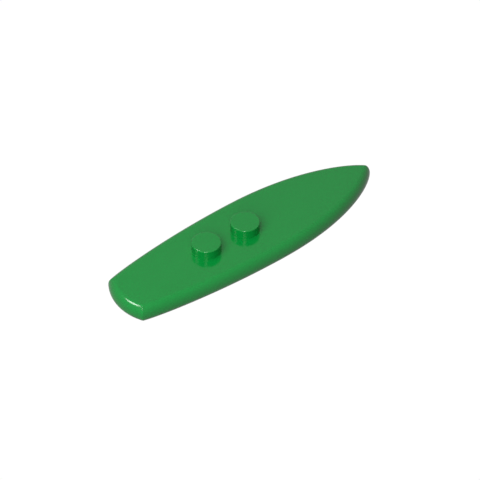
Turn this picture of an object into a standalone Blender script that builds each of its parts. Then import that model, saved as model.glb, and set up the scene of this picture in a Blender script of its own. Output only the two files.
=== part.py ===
"""Toy surfboard for a stud-and-socket building set, in metres, +X to the nose, +Y to port, +Z up.

The real object is one glossy moulding. It is built here as its working features: the board,
the coupling studs on its deck, and the clutch pin in the socket under it. The origin is on the
underside, at the middle of the length and the width.
"""

import math

import bmesh
import bpy
from mathutils import Vector

MM = 0.001

# Board
BOARD_LENGTH = 53.0 * MM
BOARD_THICKNESS = 3.2 * MM
HALF_WIDTH = 7.45 * MM
WIDEST_FROM_TAIL = 28.05 * MM
TAIL_HALF_WIDTH = 4.75 * MM
TAIL_ARC_RISE = 1.32 * MM
TAIL_FLARE = math.radians(22.0)
NOSE_RADIUS = 1.0 * MM
NOSE_HALF_ANGLE = math.radians(45.0)

# Reach of the outline's curve from the tail corner, either side of the widest station, and at the nose
REACH_TAIL = 2.0 * MM
REACH_AFT = 13.2 * MM
REACH_FORE = 14.1 * MM
REACH_NOSE = 3.3 * MM

# Rail: a quarter ellipse from the deck to the widest line, and one from there to the underside
RAIL_INSET = 1.35 * MM
RAIL_DROP = 1.85 * MM
CORNER_RADIUS = 0.13 * MM
NOSE_RIDGE_RADIUS = 0.15 * MM

# Studs, and the socket under the board that takes the same studs
STUD_PITCH = 8.0 * MM
STUD_RADIUS = 2.45 * MM
STUD_HEIGHT = 1.75 * MM
STUD_EDGE_RADIUS = 0.18 * MM
TAIL_TO_REAR_STUD = 17.55 * MM
SOCKET_CLEARANCE = 0.02 * MM
SOCKET_DEPTH = 1.9 * MM
SOCKET_CORNER_RADIUS = 0.25 * MM
PIN_TIP_RADIUS = 0.15 * MM
PIN_RECESS = 0.1 * MM
JOIN_GAP = 0.02 * MM

# Facets
AFT_POINTS = 14
FORE_POINTS = 30
NOSE_POINTS = 7
CORNER_POINTS = 4
TAIL_POINTS = 17
RAIL_STEPS = 8
ROUND_SEGMENTS = 64
EDGE_SEGMENTS = 3
SHARP_ANGLE = math.radians(40.0)
ROUND_PROFILE = 0.5

# Halvings that bring a meeting point on a curve down to rounding error
BISECT_STEPS = 50

# Places along the length
TAIL_X = -BOARD_LENGTH / 2
NOSE_X = BOARD_LENGTH / 2
TAIL_CORNER_X = TAIL_X + TAIL_ARC_RISE
WIDEST_X = TAIL_X + WIDEST_FROM_TAIL
TAIL_ARC_RADIUS = (TAIL_HALF_WIDTH**2 + TAIL_ARC_RISE**2) / (2 * TAIL_ARC_RISE)
TAIL_ARC_CENTRE = Vector((TAIL_X + TAIL_ARC_RADIUS, 0.0))
STUD_X = {
    "stud_rear": TAIL_X + TAIL_TO_REAR_STUD,
    "stud_front": TAIL_X + TAIL_TO_REAR_STUD + STUD_PITCH,
}
SOCKET_X = sum(STUD_X.values()) / len(STUD_X)

GREEN = (0.0319, 0.2705, 0.0648, 1.0)
ROUGHNESS = 0.22
METALLIC = 0.0


def clear_scene():
    for old in list(bpy.data.objects):
        bpy.data.objects.remove(old, do_unlink=True)


def moulded_plastic(name):
    """Glossy coloured ABS."""
    material = bpy.data.materials.new(name)
    material.use_nodes = True
    shader = material.node_tree.nodes["Principled BSDF"]
    shader.inputs["Base Color"].default_value = GREEN
    shader.inputs["Roughness"].default_value = ROUGHNESS
    shader.inputs["Metallic"].default_value = METALLIC
    material.diffuse_color = GREEN
    return material


def add_object(name, bm):
    """Turn a bmesh into a named object with its own material, round faces smooth and edges crisp."""
    bmesh.ops.recalc_face_normals(bm, faces=bm.faces)
    mesh = bpy.data.meshes.new(name)
    bm.to_mesh(mesh)
    bm.free()
    mesh.materials.append(moulded_plastic(name + "_plastic"))
    mesh.shade_smooth()
    mesh.set_sharp_from_angle(angle=SHARP_ANGLE)
    piece = bpy.data.objects.new(name, mesh)
    bpy.context.scene.collection.objects.link(piece)
    return piece


def round_edges(bm, edges, radius):
    bmesh.ops.bevel(
        bm, geom=edges, offset=radius, segments=EDGE_SEGMENTS, profile=ROUND_PROFILE, affect="EDGES"
    )


def polar(angle):
    """Unit direction in plan, from +X towards +Y."""
    return Vector((math.cos(angle), math.sin(angle)))


def bezier(points, t):
    """Point and direction of a cubic curve at t."""
    a, b, c, d = points
    s = 1.0 - t
    place = a * s**3 + b * (3 * s * s * t) + c * (3 * s * t * t) + d * t**3
    heading = (b - a) * (s * s) + (c - b) * (2 * s * t) + (d - c) * (t * t)
    return place, heading.normalized()


def side_curves():
    """The port side of the outline: tail corner to the widest station, and on to the nose arc."""
    corner = Vector((TAIL_CORNER_X, TAIL_HALF_WIDTH))
    widest = Vector((WIDEST_X, HALF_WIDTH))
    nose_centre = Vector((NOSE_X - NOSE_RADIUS, 0.0))
    join = nose_centre + polar(math.pi / 2 - NOSE_HALF_ANGLE) * NOSE_RADIUS
    straight = Vector((1.0, 0.0))
    aft = (corner, corner + polar(TAIL_FLARE) * REACH_TAIL, widest - straight * REACH_AFT, widest)
    fore = (widest, widest + straight * REACH_FORE, join - polar(-NOSE_HALF_ANGLE) * REACH_NOSE, join)
    return aft, fore


def inset_point(curve, t, inset):
    """Point of a curve moved inwards, to the right of its heading, and its outward normal."""
    place, heading = bezier(curve, t)
    outward = Vector((-heading.y, heading.x))
    return place - outward * inset, outward


def bisect(is_before, low, high):
    """The value between low and high where is_before turns from true to false."""
    for _ in range(BISECT_STEPS):
        middle = (low + high) / 2
        if is_before(middle):
            low = middle
        else:
            high = middle
    return (low + high) / 2


def tail_corner_of(aft, inset):
    """Parameter on the aft curve where it meets the tail arc, when both are moved in by inset."""

    def outside_tail(t):
        place, _ = inset_point(aft, t, inset)
        return (place - TAIL_ARC_CENTRE).length > TAIL_ARC_RADIUS - inset

    return bisect(outside_tail, 0.0, 1.0)


def nose_corner_of(fore, inset):
    """Parameter on the fore curve where it meets the centreline, when it is moved in by inset."""
    return bisect(lambda t: inset_point(fore, t, inset)[0].y > 0.0, 0.5, 1.0)


def half_outline(inset):
    """Port half of the outline moved in by inset, from the middle of the nose to that of the tail."""
    aft, fore = side_curves()
    nose_radius = max(NOSE_RADIUS - inset, NOSE_RIDGE_RADIUS)
    nose_end = nose_corner_of(fore, inset + nose_radius)
    nose_centre, nose_normal = inset_point(fore, nose_end, inset + nose_radius)
    nose_angle = math.atan2(nose_normal.y, nose_normal.x)
    points = []
    for i in range(NOSE_POINTS):
        points.append(Vector((nose_centre.x, 0.0)) + polar(nose_angle * i / NOSE_POINTS) * nose_radius)
    for i in range(FORE_POINTS):
        points.append(inset_point(fore, nose_end * (1.0 - i / FORE_POINTS), inset)[0])
    tail_start = tail_corner_of(aft, inset + CORNER_RADIUS)
    for i in range(AFT_POINTS):
        points.append(inset_point(aft, 1.0 - (1.0 - tail_start) * i / AFT_POINTS, inset)[0])
    corner, side_normal = inset_point(aft, tail_start, inset + CORNER_RADIUS)
    tail_normal = (corner - TAIL_ARC_CENTRE).normalized()
    turn = side_normal.angle(tail_normal)
    side_angle = math.atan2(side_normal.y, side_normal.x)
    for i in range(CORNER_POINTS):
        points.append(corner + polar(side_angle + turn * i / CORNER_POINTS) * CORNER_RADIUS)
    half_arc = math.atan2(tail_normal.y, -tail_normal.x)
    for i in range(TAIL_POINTS // 2 + 1):
        angle = math.pi - half_arc * (1.0 - 2 * i / (TAIL_POINTS - 1))
        points.append(TAIL_ARC_CENTRE + polar(angle) * (TAIL_ARC_RADIUS - inset))
    return points


def full_outline(inset):
    """The whole outline, anticlockwise from the nose."""
    port = half_outline(inset)
    starboard = [Vector((p.x, -p.y)) for p in reversed(port[1:-1])]
    return port + starboard


def rail_section():
    """Inset and height of each ring, from the deck's edge over the widest line to the underside."""
    rise = BOARD_THICKNESS - RAIL_DROP
    section = []
    for i in range(2 * RAIL_STEPS + 1):
        angle = math.pi / 2 * (1.0 - i / RAIL_STEPS)
        reach = RAIL_DROP if angle > 0 else rise
        inset = RAIL_INSET * (1.0 - math.cos(angle))
        section.append((inset, rise + reach * math.sin(angle)))
    return section


def make_socket_cutter():
    """Guide block that leaves the socket in the underside: room for two studs in line."""
    half_x = STUD_PITCH / 2 + STUD_RADIUS + SOCKET_CLEARANCE
    half_y = STUD_RADIUS + SOCKET_CLEARANCE
    bm = bmesh.new()
    bmesh.ops.create_cube(bm, size=1.0)
    bmesh.ops.scale(bm, verts=bm.verts, vec=(2 * half_x, 2 * half_y, 2 * SOCKET_DEPTH))
    bmesh.ops.translate(bm, verts=bm.verts, vec=(SOCKET_X, 0.0, 0.0))
    upright = [e for e in bm.edges if abs(e.verts[0].co.z - e.verts[1].co.z) > SOCKET_DEPTH]
    round_edges(bm, upright, SOCKET_CORNER_RADIUS)
    cutter = add_object("socket_cutter", bm)
    cutter.hide_render = True
    cutter.display_type = "WIRE"
    return cutter


def make_board():
    """Deck, rails and underside: rings of the outline stacked down the rail section, and two caps."""
    bm = bmesh.new()
    rings = []
    for inset, height in rail_section():
        rings.append([bm.verts.new((p.x, p.y, height)) for p in full_outline(inset)])
    for upper, lower in zip(rings, rings[1:]):
        for i in range(len(upper)):
            j = (i + 1) % len(upper)
            bm.faces.new((upper[i], lower[i], lower[j], upper[j]))
    bm.faces.new(rings[0])
    bm.faces.new(list(reversed(rings[-1])))
    board = add_object("board", bm)
    cut = board.modifiers.new("socket", "BOOLEAN")
    cut.operation = "DIFFERENCE"
    cut.solver = "EXACT"
    cut.object = make_socket_cutter()
    return board


def round_boss(name, place, radius, height, edge_radius, free_end_up):
    """Upright cylinder on a place, with a small radius round its free end only."""
    bm = bmesh.new()
    bmesh.ops.create_cone(
        bm, cap_ends=True, segments=ROUND_SEGMENTS, radius1=radius, radius2=radius, depth=height
    )
    bmesh.ops.translate(bm, verts=bm.verts, vec=(0.0, 0.0, height / 2))
    end = height if free_end_up else 0.0
    rim = [e for e in bm.edges if all(abs(v.co.z - end) < edge_radius / 2 for v in e.verts)]
    round_edges(bm, rim, edge_radius)
    boss = add_object(name, bm)
    boss.location = place
    return boss


def make_studs():
    """The coupling studs on the deck."""
    foot = BOARD_THICKNESS + JOIN_GAP
    for name, x in STUD_X.items():
        round_boss(name, (x, 0.0, foot), STUD_RADIUS, STUD_HEIGHT - JOIN_GAP, STUD_EDGE_RADIUS, True)


def make_clutch_pin():
    """The pin in the socket: it fills the space between two studs and grips them."""
    radius = STUD_PITCH / 2 - STUD_RADIUS - SOCKET_CLEARANCE
    height = SOCKET_DEPTH - JOIN_GAP - PIN_RECESS
    round_boss("clutch_pin", (SOCKET_X, 0.0, PIN_RECESS), radius, height, PIN_TIP_RADIUS, False)


clear_scene()
make_board()
make_studs()
make_clutch_pin()
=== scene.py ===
"""Looks of the toy surfboard: one glossy green moulding, lit as a product shot on a pale floor."""
import math

import bmesh
import bpy
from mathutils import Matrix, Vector


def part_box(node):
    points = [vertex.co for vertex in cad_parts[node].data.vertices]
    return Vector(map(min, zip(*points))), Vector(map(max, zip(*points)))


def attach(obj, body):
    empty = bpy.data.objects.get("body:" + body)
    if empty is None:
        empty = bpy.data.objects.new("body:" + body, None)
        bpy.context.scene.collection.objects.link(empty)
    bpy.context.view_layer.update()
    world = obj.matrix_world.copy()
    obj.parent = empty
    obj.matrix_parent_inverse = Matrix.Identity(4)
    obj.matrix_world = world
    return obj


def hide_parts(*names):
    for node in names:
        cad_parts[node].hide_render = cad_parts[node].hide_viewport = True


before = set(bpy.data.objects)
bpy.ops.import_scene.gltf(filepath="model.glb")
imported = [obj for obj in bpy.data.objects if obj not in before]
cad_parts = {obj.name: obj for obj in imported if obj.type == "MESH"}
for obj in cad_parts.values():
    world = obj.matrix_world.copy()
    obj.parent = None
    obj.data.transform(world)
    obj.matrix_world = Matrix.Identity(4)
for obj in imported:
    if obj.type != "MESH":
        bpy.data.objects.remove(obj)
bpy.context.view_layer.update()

MM = 0.001
BODY = "root"

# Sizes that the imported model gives
BOARD_LOW, BOARD_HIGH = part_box("board")
REAR_LOW, REAR_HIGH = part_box("stud_rear")
FRONT_LOW, FRONT_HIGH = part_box("stud_front")
PIN_LOW, PIN_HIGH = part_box("clutch_pin")
TAIL_X = BOARD_LOW.x
NOSE_X = BOARD_HIGH.x
HALF_WIDTH = BOARD_HIGH.y
DECK_Z = BOARD_HIGH.z
UNDERSIDE_Z = BOARD_LOW.z
STUD_RADIUS = (REAR_HIGH.y - REAR_LOW.y) / 2
STUD_TOP_Z = REAR_HIGH.z
STUD_X = {
    "stud_rear": (REAR_LOW.x + REAR_HIGH.x) / 2,
    "stud_front": (FRONT_LOW.x + FRONT_HIGH.x) / 2,
}
PIN_X = (PIN_LOW.x + PIN_HIGH.x) / 2
PIN_RADIUS = (PIN_HIGH.y - PIN_LOW.y) / 2
PIN_TIP_Z = PIN_LOW.z

# Outline of the board, as the CAD draws it: tail arc, aft curve, fore curve and nose
WIDEST_X = TAIL_X + 28.05 * MM
TAIL_HALF_WIDTH = 4.75 * MM
TAIL_ARC_RISE = 1.32 * MM
TAIL_FLARE = math.radians(22.0)
NOSE_RADIUS = 1.0 * MM
NOSE_HALF_ANGLE = math.radians(45.0)
REACH_TAIL = 2.0 * MM
REACH_AFT = 13.2 * MM
REACH_FORE = 14.1 * MM
REACH_NOSE = 3.3 * MM
TAIL_ARC_RADIUS = (TAIL_HALF_WIDTH**2 + TAIL_ARC_RISE**2) / (2 * TAIL_ARC_RISE)
TAIL_ARC_CENTRE = Vector((TAIL_X + TAIL_ARC_RADIUS, 0.0))

# Rail section, and the softened upright edge at each tail corner
RAIL_INSET = 1.35 * MM
RAIL_DROP = 1.85 * MM
CORNER_RADIUS = 0.13 * MM
NOSE_RIDGE_RADIUS = 0.15 * MM
FLAT_MARGIN = 0.03 * MM

# Small rounding on the studs, the pin and the socket
STUD_EDGE_RADIUS = 0.18 * MM
STUD_ROOT_DEPTH = 0.05 * MM
PIN_EDGE_RADIUS = 0.15 * MM
SOCKET_DEPTH = 1.9 * MM
SOCKET_CLEARANCE = 0.02 * MM
SOCKET_CORNER_RADIUS = 0.25 * MM
SOCKET_MOUTH_RADIUS = 0.12 * MM
SOCKET_FLOOR_RADIUS = 0.12 * MM

# Mould marks on the underside
GATE_X = 12.0 * MM
EJECTOR_PLACES = [(-20.0 * MM, 0.0), (4.5 * MM, 4.0 * MM), (4.5 * MM, -4.0 * MM), (21.0 * MM, 0.0)]
EJECTOR_RADIUS = 1.1 * MM
MARK_DEPTH = 0.03 * MM
GATE_RADIUS = 0.7 * MM

# Points along each stretch of an outline, and how finely a corner is searched for
NOSE_POINTS = 14
FORE_POINTS = 70
AFT_POINTS = 36
CORNER_POINTS = 8
TAIL_HALF_POINTS = 20
RAIL_STEPS = 24
ROUND_POINTS = 128
MARK_POINTS = 64
FILLET_STEPS = 6
BISECT_STEPS = 50

# Shading: an edge that turns more than this stays sharp, and a face that leans less than this is upright
SHARP_ANGLE = math.radians(35.0)
UPRIGHT_LEAN = 0.01

# The plastic: its green where the flow left it deeper and paler, and how rough it is where clean and handled
DEEP_GREEN = (0.0014, 0.2440, 0.0360)
PALE_GREEN = (0.0017, 0.2560, 0.0383)
CLEAN_ROUGHNESS = 0.12
HANDLED_ROUGHNESS = 0.18
SCRATCH_ROUGHNESS = 0.10
FACE_SPECULAR = 0.5
STUD_SIDE_SPECULAR = 0.2

# Flow and pigment: features per metre, width over length of a flow mark, and the sum of the two noises
# over which the green turns from deep to pale
FLOW_SCALE = 170.0
FLOW_DETAIL = 3.0
FLOW_SLIMNESS = 0.35
PIGMENT_SCALE = 2600.0
TINT_SPAN = (0.7, 1.3)

# Handling marks, orange peel and grain: features per metre, heights in millimetres, and the noise over which
# the roughness turns from clean to handled
HANDLING_SCALE = 230.0
HANDLING_DETAIL = 4.0
HANDLING_SPAN = (0.35, 0.7)
PEEL_SCALE = 900.0
PEEL_HEIGHT = 0.0022
GRAIN_SCALE = 5200.0
GRAIN_HEIGHT = 0.0001
FINE_DETAIL = 1.0

# Hairlines along the edges of long cells: cells per metre, length over width of a cell, width of a line as a
# share of its cell, depth in millimetres, the turn of each set, and the noise over which patches fade in
SCRATCH_SCALE = 210.0
SCRATCH_STRETCH = 11.0
SCRATCH_WIDTH = 0.012
SCRATCH_DEPTH = 0.0008
SCRATCH_TURNS = (math.radians(17.0), math.radians(-38.0))
PATCH_SPAN = (0.5, 0.65)

# Places of the colour sockets among a Mix node's inputs and outputs
MIX_FIRST = 6
MIX_SECOND = 7
MIX_RESULT = 2

# Studio: even grey room that the gloss reflects, dim light from all round, white floor and backdrop
WHITE = (1.0, 1.0, 1.0, 1.0)
ROOM_RADIUS = 2.0
DOME_SEGMENTS = 32
DOME_RINGS = 16
FLOOR_GAP = 0.02 * MM
REFLECTED_GREY = 0.595
AMBIENT = 0.03
BACKDROP_WHITE = 1.02

# Lights: azimuth from +X towards +Y and elevation in degrees, distance and radius of the disc in metres,
# and the disc's brightness. The softboxes light the plain colour, the sparkles are seen in the gloss
SOFTBOXES = {
    "softbox_tail": (-175.0, 62.0, 0.28, 0.171, 1.62),
    "softbox_starboard": (-145.0, 35.0, 0.28, 0.171, 2.77),
    "softbox_far": (60.0, 62.0, 0.28, 0.171, 0.50),
    "bounce_from_below": (52.0, -50.0, 0.30, 0.100, 6.0),
}
SPARKLES = {
    "sparkle_port": (152.0, 50.5, 0.4, 0.066, 16.6),
    "sparkle_starboard": (-133.0, 46.0, 0.4, 0.060, 16.0),
}

# Camera: where it looks, its azimuth from -Y towards +X, how far away it is, and its focal length in widths
# of the frame
CAMERA_AIM = Vector((TAIL_X + 23.253 * MM, -1.571 * MM, DECK_Z))
CAMERA_AZIMUTH = math.radians(-38.17)
CAMERA_ELEVATION = math.radians(43.03)
CAMERA_DISTANCE = 240.0 * MM
CAMERA_CLIP = (0.01, 20.0)
SENSOR_WIDTH = 36.0
FOCAL_PER_FRAME = 3.0505


def bezier(points, t):
    """Point and direction of a cubic curve at t."""
    a, b, c, d = points
    s = 1.0 - t
    place = a * s**3 + b * (3 * s * s * t) + c * (3 * s * t * t) + d * t**3
    heading = (b - a) * (s * s) + (c - b) * (2 * s * t) + (d - c) * (t * t)
    return place, heading.normalized()


def polar(angle):
    """Direction at an angle from +X towards +Y."""
    return Vector((math.cos(angle), math.sin(angle)))


NOSE_CENTRE = Vector((NOSE_X - NOSE_RADIUS, 0.0))
NOSE_JOIN = NOSE_CENTRE + polar(math.pi / 2 - NOSE_HALF_ANGLE) * NOSE_RADIUS
TAIL_CORNER = Vector((TAIL_X + TAIL_ARC_RISE, TAIL_HALF_WIDTH))
WIDEST = Vector((WIDEST_X, HALF_WIDTH))
AFT_CURVE = (
    TAIL_CORNER,
    TAIL_CORNER + polar(TAIL_FLARE) * REACH_TAIL,
    WIDEST - Vector((REACH_AFT, 0.0)),
    WIDEST,
)
FORE_CURVE = (
    WIDEST,
    WIDEST + Vector((REACH_FORE, 0.0)),
    NOSE_JOIN - polar(-NOSE_HALF_ANGLE) * REACH_NOSE,
    NOSE_JOIN,
)


def inset_point(curve, t, inset):
    """Point of a curve moved inwards, to the right of its heading, and the outward normal there."""
    place, heading = bezier(curve, t)
    outward = Vector((-heading.y, heading.x))
    return place - outward * inset, outward


def bisect(is_before, low, high):
    """The value between low and high where is_before turns from true to false."""
    for _ in range(BISECT_STEPS):
        middle = (low + high) / 2
        if is_before(middle):
            low = middle
        else:
            high = middle
    return (low + high) / 2


def tail_corner_of(inset):
    """Parameter on the aft curve where it meets the tail arc, when both are moved in by inset."""

    def outside_tail(t):
        place, _ = inset_point(AFT_CURVE, t, inset)
        return (place - TAIL_ARC_CENTRE).length > TAIL_ARC_RADIUS - inset

    return bisect(outside_tail, 0.0, 1.0)


def nose_corner_of(inset):
    """Parameter on the fore half of the fore curve where it, moved in by inset, meets the centreline."""

    def port_of_centreline(t):
        place, _ = inset_point(FORE_CURVE, t, inset)
        return place.y > 0.0

    return bisect(port_of_centreline, 0.5, 1.0)


def board_outline(inset):
    """The whole outline moved in by inset, anticlockwise from the middle of the nose."""
    nose_radius = max(NOSE_RADIUS - inset, NOSE_RIDGE_RADIUS)
    nose_end = nose_corner_of(inset + nose_radius)
    nose_centre, nose_normal = inset_point(FORE_CURVE, nose_end, inset + nose_radius)
    nose_angle = math.atan2(nose_normal.y, nose_normal.x)
    port = []
    for i in range(NOSE_POINTS):
        port.append(Vector((nose_centre.x, 0.0)) + polar(nose_angle * i / NOSE_POINTS) * nose_radius)
    for i in range(FORE_POINTS):
        port.append(inset_point(FORE_CURVE, nose_end * (1.0 - i / FORE_POINTS), inset)[0])
    tail_start = tail_corner_of(inset + CORNER_RADIUS)
    for i in range(AFT_POINTS):
        port.append(inset_point(AFT_CURVE, 1.0 - (1.0 - tail_start) * i / AFT_POINTS, inset)[0])
    corner, side_normal = inset_point(AFT_CURVE, tail_start, inset + CORNER_RADIUS)
    tail_normal = (corner - TAIL_ARC_CENTRE).normalized()
    turn = side_normal.angle(tail_normal)
    side_angle = math.atan2(side_normal.y, side_normal.x)
    for i in range(CORNER_POINTS):
        port.append(corner + polar(side_angle + turn * i / CORNER_POINTS) * CORNER_RADIUS)
    half_arc = math.atan2(tail_normal.y, -tail_normal.x)
    for i in range(TAIL_HALF_POINTS + 1):
        angle = math.pi - half_arc * (1.0 - i / TAIL_HALF_POINTS)
        port.append(TAIL_ARC_CENTRE + polar(angle) * (TAIL_ARC_RADIUS - inset))
    starboard = [Vector((p.x, -p.y)) for p in reversed(port[1:-1])]
    return port + starboard


def socket_outline(grow):
    """Outline of the socket in the underside, rounded at its corners, moved out by grow."""
    half_x = abs(STUD_X["stud_front"] - STUD_X["stud_rear"]) / 2 + STUD_RADIUS + SOCKET_CLEARANCE
    half_y = STUD_RADIUS + SOCKET_CLEARANCE
    radius = SOCKET_CORNER_RADIUS
    points = []
    for quadrant in range(4):
        middle = polar(math.pi / 2 * quadrant + math.pi / 4)
        centre = Vector((
            PIN_X + math.copysign(half_x - radius, middle.x),
            math.copysign(half_y - radius, middle.y),
        ))
        for i in range(FILLET_STEPS + 1):
            angle = math.pi / 2 * (quadrant + i / FILLET_STEPS)
            points.append(centre + polar(angle) * (radius + grow))
    return points


def circle(x, y, radius, count):
    """Points round a circle, anticlockwise from +X."""
    return [Vector((x, y)) + polar(2 * math.pi * i / count) * radius for i in range(count)]


def add_ring(bm, points, z):
    """Vertices at the points of an outline, all at one height."""
    return [bm.verts.new((p.x, p.y, z)) for p in points]


def stitch(bm, upper, lower):
    """Faces between two rings of the same count."""
    for i in range(len(upper)):
        j = (i + 1) % len(upper)
        bm.faces.new((upper[i], lower[i], lower[j], upper[j]))


def ring_edges(bm, ring):
    """The edges that join the vertices of a ring, which faces have already made."""
    return [bm.edges.get((ring[i], ring[(i + 1) % len(ring)])) for i in range(len(ring))]


def new_piece(name, bm, material, *nodes):
    """A finished piece: closed outward mesh, smooth round faces, riding on the body for its CAD nodes."""
    bmesh.ops.recalc_face_normals(bm, faces=bm.faces)
    mesh = bpy.data.meshes.new(name)
    bm.to_mesh(mesh)
    bm.free()
    mesh.shade_smooth()
    mesh.set_sharp_from_angle(angle=SHARP_ANGLE)
    mesh.materials.append(material)
    piece = bpy.data.objects.new(name, mesh)
    bpy.context.scene.collection.objects.link(piece)
    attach(piece, BODY)
    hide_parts(*nodes)
    return piece


def rail_section():
    """Inset and height of each ring, from the deck over the widest line to the underside."""
    rise = DECK_Z - UNDERSIDE_Z - RAIL_DROP
    section = [(RAIL_INSET + FLAT_MARGIN, DECK_Z)]
    for i in range(2 * RAIL_STEPS + 1):
        angle = math.pi / 2 * (1.0 - i / RAIL_STEPS)
        reach = RAIL_DROP if angle > 0 else rise
        section.append((RAIL_INSET * (1.0 - math.cos(angle)), UNDERSIDE_Z + rise + reach * math.sin(angle)))
    section.append((RAIL_INSET + FLAT_MARGIN, UNDERSIDE_Z))
    return section


def sink_socket(bm):
    """The socket: rounded mouth, straight walls and a small radius round its floor. Returns its mouth."""
    rings = []
    for i in range(FILLET_STEPS + 1):
        angle = math.pi / 2 * i / FILLET_STEPS
        grow = SOCKET_MOUTH_RADIUS * (1.0 - math.sin(angle))
        height = SOCKET_MOUTH_RADIUS * (1.0 - math.cos(angle))
        rings.append(add_ring(bm, socket_outline(grow), UNDERSIDE_Z + height))
    for i in range(FILLET_STEPS + 1):
        angle = math.pi / 2 * i / FILLET_STEPS
        grow = -SOCKET_FLOOR_RADIUS * (1.0 - math.cos(angle))
        height = SOCKET_DEPTH - SOCKET_FLOOR_RADIUS * (1.0 - math.sin(angle))
        rings.append(add_ring(bm, socket_outline(grow), UNDERSIDE_Z + height))
    for lower, upper in zip(rings, rings[1:]):
        stitch(bm, upper, lower)
    bm.faces.new(rings[-1])
    return rings[0]


def sink_mark(bm, x, y, radius):
    """A shallow round mark with a sloping wall, left in the underside by the mould. Returns its edge."""
    edge = add_ring(bm, circle(x, y, radius, MARK_POINTS), UNDERSIDE_Z)
    floor = add_ring(bm, circle(x, y, radius - MARK_DEPTH, MARK_POINTS), UNDERSIDE_Z + MARK_DEPTH)
    stitch(bm, floor, edge)
    bm.faces.new(floor)
    return edge


def make_board(material):
    """The board: deck and rails from rings, and an underside filled round the socket and the marks."""
    bm = bmesh.new()
    rings = [add_ring(bm, board_outline(inset), z) for inset, z in rail_section()]
    for upper, lower in zip(rings, rings[1:]):
        stitch(bm, upper, lower)
    bm.faces.new(rings[0])
    openings = [sink_socket(bm)]
    openings += [sink_mark(bm, x, y, EJECTOR_RADIUS) for x, y in EJECTOR_PLACES]
    openings.append(sink_mark(bm, GATE_X, 0.0, GATE_RADIUS))
    edges = ring_edges(bm, rings[-1])
    for opening in openings:
        edges += ring_edges(bm, opening)
    bmesh.ops.triangle_fill(bm, edges=edges, use_beauty=True, normal=(0.0, 0.0, -1.0))
    new_piece("surfboard", bm, material, "board")


def lathe(profile, x, y):
    """Closed round solid from (radius, height) pairs, listed from the top down."""
    bm = bmesh.new()
    rings = [add_ring(bm, circle(x, y, radius, ROUND_POINTS), z) for radius, z in profile]
    for upper, lower in zip(rings, rings[1:]):
        stitch(bm, upper, lower)
    bm.faces.new(rings[0])
    bm.faces.new(list(reversed(rings[-1])))
    return bm


def edge_arc(radius, z, edge, up):
    """The rounded edge at a cylinder's end: its points from the flat end to the side."""
    points = []
    for i in range(FILLET_STEPS + 1):
        angle = math.pi / 2 * (1.0 - i / FILLET_STEPS)
        points.append((radius - edge + edge * math.cos(angle), z + up * (edge * math.sin(angle) - edge)))
    return points


def make_stud(node, material, side_material):
    """A coupling stud: flat top, softly rounded edge, and a root that runs into the deck.

    A ring just below the rounded edge keeps the shading of the tall side straight.
    """
    profile = [(STUD_RADIUS - STUD_EDGE_RADIUS - FLAT_MARGIN, STUD_TOP_Z)]
    profile += edge_arc(STUD_RADIUS, STUD_TOP_Z, STUD_EDGE_RADIUS, 1)
    profile.append((STUD_RADIUS, STUD_TOP_Z - STUD_EDGE_RADIUS - FLAT_MARGIN))
    profile.append((STUD_RADIUS, DECK_Z - STUD_ROOT_DEPTH))
    stud = new_piece(node + "_moulded", lathe(profile, STUD_X[node], 0.0), material, node)
    stud.data.materials.append(side_material)
    side_index = len(stud.data.materials) - 1
    for face in stud.data.polygons:
        if abs(face.normal.z) < UPRIGHT_LEAN:
            face.material_index = side_index


def make_pin(material):
    """The clutch pin in the socket: its root runs into the socket's floor, and its tip is rounded."""
    profile = [(PIN_RADIUS, UNDERSIDE_Z + SOCKET_DEPTH + STUD_ROOT_DEPTH)]
    profile += list(reversed(edge_arc(PIN_RADIUS, PIN_TIP_Z, PIN_EDGE_RADIUS, -1)))
    profile.append((PIN_RADIUS - PIN_EDGE_RADIUS - FLAT_MARGIN, PIN_TIP_Z))
    new_piece("clutch_pin_moulded", lathe(profile, PIN_X, 0.0), material, "clutch_pin")


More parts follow.
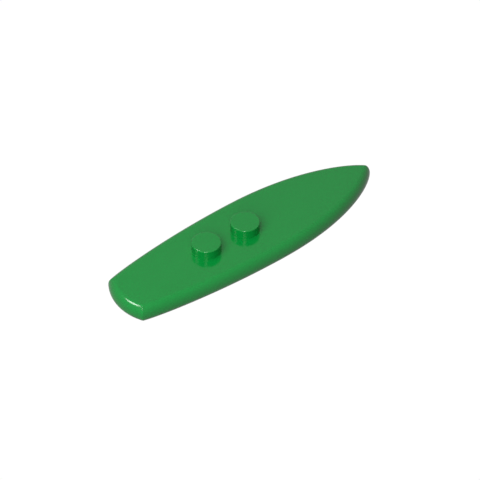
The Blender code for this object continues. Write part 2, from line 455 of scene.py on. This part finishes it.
class Surface:
    """Builds the node tree of one material whose features are laid out in the object's own space."""

    def __init__(self, name):
        self.material = bpy.data.materials.new(name)
        self.material.use_nodes = True
        self.tree = self.material.node_tree
        self.shader = self.tree.nodes["Principled BSDF"]
        self.place = self.tree.nodes.new("ShaderNodeTexCoord").outputs["Object"]

    def add(self, kind, inputs):
        """A node with its inputs set to values, or linked to another node's output. Returns the node."""
        node = self.tree.nodes.new(kind)
        self.fill(node, inputs)
        return node

    def fill(self, node, inputs):
        """Sets or links the named inputs of a node."""
        for name, value in inputs.items():
            if isinstance(value, bpy.types.NodeSocket):
                self.tree.links.new(value, node.inputs[name])
            else:
                node.inputs[name].default_value = value

    def noise(self, scale, detail, vector=None):
        """Noise between 0 and 1 with so many features per metre."""
        inputs = {"Vector": vector or self.place, "Scale": scale, "Detail": detail}
        return self.add("ShaderNodeTexNoise", inputs).outputs["Fac"]

    def lengthwise(self, stretch, turn=0.0):
        """Coordinates that stretch features along the board. Another turn gives another pattern of them."""
        inputs = {"Vector": self.place, "Rotation": (0.0, 0.0, turn), "Scale": (1.0, stretch, 1.0)}
        return self.add("ShaderNodeMapping", inputs).outputs["Vector"]

    def span(self, value, low, high, new_low, new_high):
        """The value carried from low..high to new_low..new_high, and held at the ends."""
        inputs = {"Value": value, "From Min": low, "From Max": high, "To Min": new_low, "To Max": new_high}
        return self.add("ShaderNodeMapRange", inputs).outputs["Result"]

    def maths(self, operation, first, second):
        """The result of a Math node for two values or outputs."""
        node = self.tree.nodes.new("ShaderNodeMath")
        node.operation = operation
        for socket, value in zip(node.inputs, (first, second)):
            if isinstance(value, bpy.types.NodeSocket):
                self.tree.links.new(value, socket)
            else:
                socket.default_value = value
        return node.outputs["Value"]

    def blend(self, factor, first, second):
        """The first colour turning to the second as the factor rises."""
        node = self.tree.nodes.new("ShaderNodeMix")
        node.data_type = "RGBA"
        self.tree.links.new(factor, node.inputs["Factor"])
        node.inputs[MIX_FIRST].default_value = (*first, 1.0)
        node.inputs[MIX_SECOND].default_value = (*second, 1.0)
        return node.outputs[MIX_RESULT]

    def scratches(self, turn):
        """Hairlines that run mostly along the board, only in patches: 1 on a hairline and 0 beside it."""
        inputs = {"Vector": self.lengthwise(SCRATCH_STRETCH, turn), "Scale": SCRATCH_SCALE}
        cells = self.add("ShaderNodeTexVoronoi", inputs)
        cells.feature = "DISTANCE_TO_EDGE"
        lines = self.span(cells.outputs["Distance"], 0.0, SCRATCH_WIDTH, 1.0, 0.0)
        cover = self.noise(SCRATCH_SCALE, FINE_DETAIL, self.lengthwise(1.0, -turn))
        patches = self.span(cover, *PATCH_SPAN, 0.0, 1.0)
        return self.maths("MULTIPLY", lines, patches)


def glossy_plastic(name, specular):
    """Glossy moulded plastic: faint flow of the pigment, handling marks, hairlines and orange peel."""
    surface = Surface(name)
    flow = surface.noise(FLOW_SCALE, FLOW_DETAIL, surface.lengthwise(1.0 / FLOW_SLIMNESS))
    pigment = surface.noise(PIGMENT_SCALE, FINE_DETAIL)
    tint = surface.span(surface.maths("ADD", flow, pigment), *TINT_SPAN, 0.0, 1.0)
    touch = surface.noise(HANDLING_SCALE, HANDLING_DETAIL)
    handling = surface.span(touch, *HANDLING_SPAN, CLEAN_ROUGHNESS, HANDLED_ROUGHNESS)
    hairlines = surface.maths("MAXIMUM", *[surface.scratches(turn) for turn in SCRATCH_TURNS])
    roughness = surface.maths("ADD", handling, surface.maths("MULTIPLY", hairlines, SCRATCH_ROUGHNESS))
    peel = surface.maths("MULTIPLY", surface.noise(PEEL_SCALE, FINE_DETAIL), PEEL_HEIGHT)
    grain = surface.maths("MULTIPLY", surface.noise(GRAIN_SCALE, FINE_DETAIL), GRAIN_HEIGHT)
    grooves = surface.maths("MULTIPLY", hairlines, SCRATCH_DEPTH)
    height = surface.maths("SUBTRACT", surface.maths("ADD", peel, grain), grooves)
    bump = surface.add("ShaderNodeBump", {"Height": height, "Distance": MM})
    surface.fill(surface.shader, {
        "Base Color": surface.blend(tint, DEEP_GREEN, PALE_GREEN),
        "Roughness": roughness,
        "Specular IOR Level": specular,
        "Normal": bump.outputs["Normal"],
    })
    return surface.material


def stage_object(name, bm, strength, camera):
    """A glowing surface round the object, seen either by the camera only or in reflections only."""
    mesh = bpy.data.meshes.new(name)
    bm.to_mesh(mesh)
    bm.free()
    material = bpy.data.materials.new(name)
    material.use_nodes = True
    nodes = material.node_tree.nodes
    nodes.clear()
    glow = nodes.new("ShaderNodeEmission")
    glow.inputs["Color"].default_value = WHITE
    glow.inputs["Strength"].default_value = strength
    out = nodes.new("ShaderNodeOutputMaterial")
    material.node_tree.links.new(glow.outputs["Emission"], out.inputs["Surface"])
    material.cycles.emission_sampling = "NONE"
    mesh.materials.append(material)
    surface = bpy.data.objects.new(name, mesh)
    bpy.context.scene.collection.objects.link(surface)
    surface.visible_camera = camera
    surface.visible_glossy = not camera
    surface.visible_diffuse = False
    surface.visible_shadow = False
    return surface


def make_floor():
    """A plain white floor, which is clear when seen from below, so that it doesn't hide the underside."""
    bm = bmesh.new()
    bmesh.ops.create_grid(bm, x_segments=1, y_segments=1, size=ROOM_RADIUS)
    floor = stage_object("floor", bm, BACKDROP_WHITE, True)
    tree = floor.active_material.node_tree
    out = tree.nodes["Material Output"]
    glow = out.inputs["Surface"].links[0].from_socket
    clear = tree.nodes.new("ShaderNodeBsdfTransparent")
    side = tree.nodes.new("ShaderNodeNewGeometry")
    mix = tree.nodes.new("ShaderNodeMixShader")
    seen_from_below, above, below = mix.inputs
    tree.links.new(side.outputs["Backfacing"], seen_from_below)
    tree.links.new(glow, above)
    tree.links.new(clear.outputs["BSDF"], below)
    tree.links.new(mix.outputs["Shader"], out.inputs["Surface"])
    floor.location.z = UNDERSIDE_Z - FLOOR_GAP


def make_dome(name, strength, camera):
    """A glowing sphere round everything."""
    bm = bmesh.new()
    bmesh.ops.create_uvsphere(bm, u_segments=DOME_SEGMENTS, v_segments=DOME_RINGS, radius=ROOM_RADIUS)
    stage_object(name, bm, strength, camera)


def make_light(name, azimuth, elevation, distance, radius, brightness, glossy):
    """A disc light that faces the object and acts either on its gloss or on its plain colour.

    A disc as bright as 1 gives off power of (pi * radius) squared.
    """
    data = bpy.data.lights.new(name, "AREA")
    data.shape = "DISK"
    data.size = 2 * radius
    data.energy = brightness * (math.pi * radius) ** 2
    light = bpy.data.objects.new(name, data)
    bearing = math.radians(azimuth)
    height = math.sin(math.radians(elevation))
    flat = math.cos(math.radians(elevation))
    away = Vector((math.cos(bearing) * flat, math.sin(bearing) * flat, height))
    light.location = away * distance
    light.rotation_euler = away.to_track_quat("Z", "Y").to_euler()
    light.visible_camera = False
    light.visible_glossy = glossy
    light.visible_diffuse = not glossy
    bpy.context.scene.collection.objects.link(light)


def make_camera():
    """The camera at the photographed angle."""
    data = bpy.data.cameras.new("camera")
    data.sensor_width = SENSOR_WIDTH
    data.lens = SENSOR_WIDTH * FOCAL_PER_FRAME
    data.clip_start, data.clip_end = CAMERA_CLIP
    camera = bpy.data.objects.new("camera", data)
    flat = math.cos(CAMERA_ELEVATION)
    back = Vector((
        math.sin(CAMERA_AZIMUTH) * flat,
        -math.cos(CAMERA_AZIMUTH) * flat,
        math.sin(CAMERA_ELEVATION),
    ))
    camera.location = CAMERA_AIM + back * CAMERA_DISTANCE
    camera.rotation_euler = back.to_track_quat("Z", "Y").to_euler()
    bpy.context.scene.collection.objects.link(camera)
    bpy.context.scene.camera = camera


def make_world():
    """Dim light from all round, on the plain colour only."""
    world = bpy.data.worlds.new("studio")
    bpy.context.scene.world = world
    world.use_nodes = True
    background = world.node_tree.nodes["Background"]
    background.inputs["Color"].default_value = WHITE
    background.inputs["Strength"].default_value = AMBIENT
    world.cycles_visibility.camera = False
    world.cycles_visibility.glossy = False
    world.cycles.sampling_method = "NONE"


plastic = glossy_plastic("glossy_green_plastic", FACE_SPECULAR)
side_plastic = glossy_plastic("stud_side_plastic", STUD_SIDE_SPECULAR)
make_board(plastic)
for stud in STUD_X:
    make_stud(stud, plastic, side_plastic)
make_pin(plastic)
make_floor()
make_dome("backdrop", BACKDROP_WHITE, True)
make_dome("grey_room", REFLECTED_GREY, False)
for name, settings in SOFTBOXES.items():
    make_light(name, *settings, False)
for name, settings in SPARKLES.items():
    make_light(name, *settings, True)
make_camera()
make_world()
bpy.context.scene.view_settings.view_transform = "Standard"
